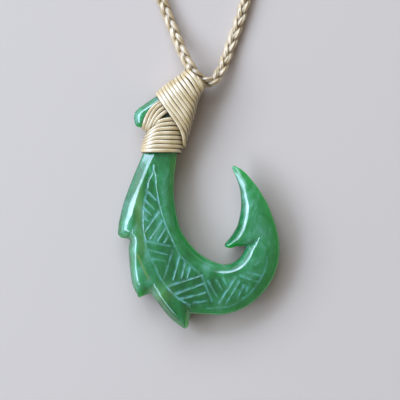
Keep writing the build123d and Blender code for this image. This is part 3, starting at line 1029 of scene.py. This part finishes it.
def stone_material():
    """Polished translucent green stone: mottled, lighter in milk-white places that on its bevels stand
    for a painted sheen, with painted glowing green light and painted teal shade at its rim, and chalky
    where it is cut.
    """
    material, tree, shader = new_material("green_stone")
    cloud = noise_node(tree, *STONE_CLOUDS)
    grain = noise_node(tree, *STONE_GRAIN)
    mottle = math_node(tree, "ADD", times(tree, cloud, CLOUD_SHARE), times(tree, grain, GRAIN_SHARE))
    mottle = math_node(tree, "ADD", mottle, MOTTLE_BASE)
    # Lighter milk-white places: milkiness of the stone, and on the bevels a painted pale sheen
    milky_and_sheen = times(tree, attribute_node(tree, "milky_and_sheen"), MILKY_AND_SHEEN_SHARE)
    colour = ramp_node(tree, math_node(tree, "ADD", mottle, milky_and_sheen), *STONE_SHADES)
    # Painted rim light: glowing green where light comes through, then the painted teal shade
    colour = mix_node(tree, times(tree, attribute_node(tree, "painted_glow"), PAINTED_GLOW_SHARE), colour, PAINTED_GLOW_GREEN)
    colour = mix_node(tree, attribute_node(tree, "painted_shade"), colour, PAINTED_SHADE_TEAL)
    colour = mix_node(tree, times(tree, attribute_node(tree, "rusty"), RUST_SHARE), colour, RUST)
    engraved = attribute_node(tree, "engraved")
    worn = ramp_node(tree, noise_node(tree, *GROOVE_WEAR), *WEAR_STOPS)
    polish = ramp_node(tree, attribute_node(tree, "inset"), *POLISH_STOPS)
    feed_all(tree, shader, {
        "Base Color": mix_node(tree, times(tree, engraved, worn), colour, CHALK),
        "Roughness": math_node(tree, "ADD", times(tree, engraved, GROOVE_ROUGHNESS), POLISH_ROUGHNESS),
        "IOR": 1.62,
        "Specular IOR Level": 0.8,
        "Subsurface Weight": 0.85,
        "Subsurface Radius": (0.25, 1.0, 0.4),
        "Subsurface Scale": 0.009,
        "Coat Weight": polish,
        "Coat IOR": 1.6,
        "Coat Roughness": 0.1,
    })
    return material


def thread_group():
    """A group for the surface of twisted waxed thread: its mottled colour, painted shade in the crevices,
    how waxed it is, and the height of its twist."""
    tree, given, exit_node = new_tree("ShaderNodeTree", "twisted_thread", [
        ("Light Colour", "Color"), ("Dark Colour", "Color"), ("Painted Crevice Shade", "Color"),
        ("Crevice Start", "Float"), ("Crevice End", "Float"), ("Twist Pitch", "Float"),
        ("Plies", "Float")], [("Colour", "Color"), ("Wax", "Float"), ("Twist Height", "Float")])
    cloud = share_node(tree, noise_node(tree, *THREAD_CLOUDS), *DARK_TO_LIGHT)
    colour = mix_node(tree, cloud, given["Dark Colour"], given["Light Colour"])
    crevice = attribute_node(tree, "crevice")
    # Painted shade: the colour darkens in the crevices, where the next turns or strands shade the thread
    crevice_shade = share_node(tree, crevice, given["Crevice Start"], given["Crevice End"])
    colour = mix_node(tree, crevice_shade, colour, given["Painted Crevice Shade"])
    wax = times(tree, minus(tree, 1, crevice_shade), MOST_WAX)
    place = attribute_node(tree, "ring_place", "Vector")
    split = make_node(tree, "ShaderNodeSeparateXYZ", {"Vector": place})
    angle = math_node(tree, "ARCTAN2", split.outputs["Y"], split.outputs["X"])
    turns = math_node(tree, "DIVIDE", attribute_node(tree, "thread_length"), given["Twist Pitch"])
    lay = math_node(tree, "ADD", times(tree, turns, math.tau), angle)
    twist = math_node(tree, "SINE", times(tree, lay, given["Plies"]))
    feed_all(tree, exit_node, {"Colour": colour, "Wax": wax, "Twist Height": twist})
    return tree


def thread_material(name, group, ply_height, values):
    """Waxed thread, with its own values for the group's inputs and its own height of the plies."""
    material, tree, shader = new_material(name)
    surface = make_node(tree, "ShaderNodeGroup", values, node_tree=group)
    bump = make_node(tree, "ShaderNodeBump", {
        "Strength": 0.6, "Distance": ply_height, "Height": surface.outputs["Twist Height"]})
    feed_all(tree, shader, {
        "Base Color": surface.outputs["Colour"],
        "Roughness": 0.42,
        "Normal": bump.outputs["Normal"],
        "Specular IOR Level": 0.9,
        "Coat Weight": surface.outputs["Wax"],
        "Coat IOR": 1.9,
        "Coat Roughness": 0.33,
    })
    return material


def make_materials():
    group = thread_group()
    return {
        "stone": stone_material(),
        "thread": thread_material("waxed_thread", group, 0.00002, {
            "Light Colour": (0.76, 0.565, 0.285), "Dark Colour": (0.54, 0.355, 0.12),
            # The crevice colour is painted shade between the turns
            "Painted Crevice Shade": (0.05, 0.02, 0.004), "Crevice Start": 0.56, "Crevice End": 0.84,
            "Twist Pitch": 0.0016, "Plies": 3}),
        "braid": thread_material("braid_strand", group, 0.00014, {
            "Light Colour": (0.79, 0.58, 0.31), "Dark Colour": (0.54, 0.355, 0.13),
            # The crevice colour is painted shade inside the plait
            "Painted Crevice Shade": (0.11, 0.055, 0.012), "Crevice Start": 0.18, "Crevice End": 0.56,
            "Twist Pitch": 0.012, "Plies": 5}),
    }


# Studio

# Half the floor's side in millimetres, and the faint even light from all round
FLOOR_HALF = 3000
AMBIENT = {"Color": (0.92, 0.94, 1.0), "Strength": 0.2}
# The windows stand in a row on an arc round the pendant: the angle and the height of each, then the arc's
# radius, their level, their width, their radiance and the colour of the sky in them
WINDOWS = ((100, 0.65), (140, 0.65), (180, 0.65), (216, 0.35))
WINDOW_RADIUS = 0.93
WINDOW_LEVEL = 0.72
WINDOW_WIDTH = 0.8
WINDOW_RADIANCE = 5.6
SKY = (0.56, 0.71, 1.0)
# The other panels of light: where each stands, its width, its height, its radiance and its colour, and
# whether the polish mirrors it
PANELS = {
    "wall": ((-1.25, 0.45, 0.4), 3.4, 0.8, 1.2, (0.55, 0.70, 1.0), True),
    "ceiling": ((-0.35, 0.3, 1.5), 2.4, 2.4, 0.25, (1.0, 0.90, 0.76), False),
    "fill": ((1.1, -0.3, 0.5), 1.2, 0.7, 0.16, (1.0, 0.85, 0.65), False),
}


def make_floor():
    """A plain pale floor."""
    corners = [(x * FLOOR_HALF, y * FLOOR_HALF, 0) for x, y in ((-1, -1), (1, -1), (1, 1), (-1, 1))]
    floor = link_mesh("floor", corners, [], [[0, 1, 2, 3]])
    material, tree, shader = new_material("pale_floor")
    feed_all(tree, shader, {"Base Color": (0.57, 0.475, 0.38), "Roughness": 0.8})
    floor.data.materials.append(material)


def make_light(name, place, width, height, radiance, colour, mirrored):
    """A soft panel of light that faces the pendant, seen in its polish or only lighting it."""
    data = bpy.data.lights.new(name, "AREA")
    data.shape = "RECTANGLE"
    data.size = width
    data.size_y = height
    data.energy = radiance * math.pi * width * height
    data.color = colour
    lamp = link_object(name, data)
    lamp.location = place
    lamp.rotation_euler = (-Vector(place)).to_track_quat("-Z", "Y").to_euler()
    lamp.visible_camera = False
    lamp.visible_glossy = mirrored


def make_studio():
    """A plain pale floor under windows and a wall on the left, a soft ceiling and a faint warm fill."""
    world = bpy.data.worlds.new("studio")
    world.use_nodes = True
    feed_all(world.node_tree, world.node_tree.nodes["Background"], AMBIENT)
    bpy.context.scene.world = world
    bpy.context.scene.view_settings.view_transform = "Standard"
    make_floor()
    for side, height in WINDOWS:
        turn = math.radians(side)
        place = (WINDOW_RADIUS * math.cos(turn), WINDOW_RADIUS * math.sin(turn), WINDOW_LEVEL)
        make_light(f"window_{side}", place, WINDOW_WIDTH, height, WINDOW_RADIANCE, SKY, True)
    for name, values in PANELS.items():
        make_light(name, *values)


make_camera()
materials = make_materials()
make_cord(materials)
make_stone(materials)
make_lashings(materials)
make_studio()
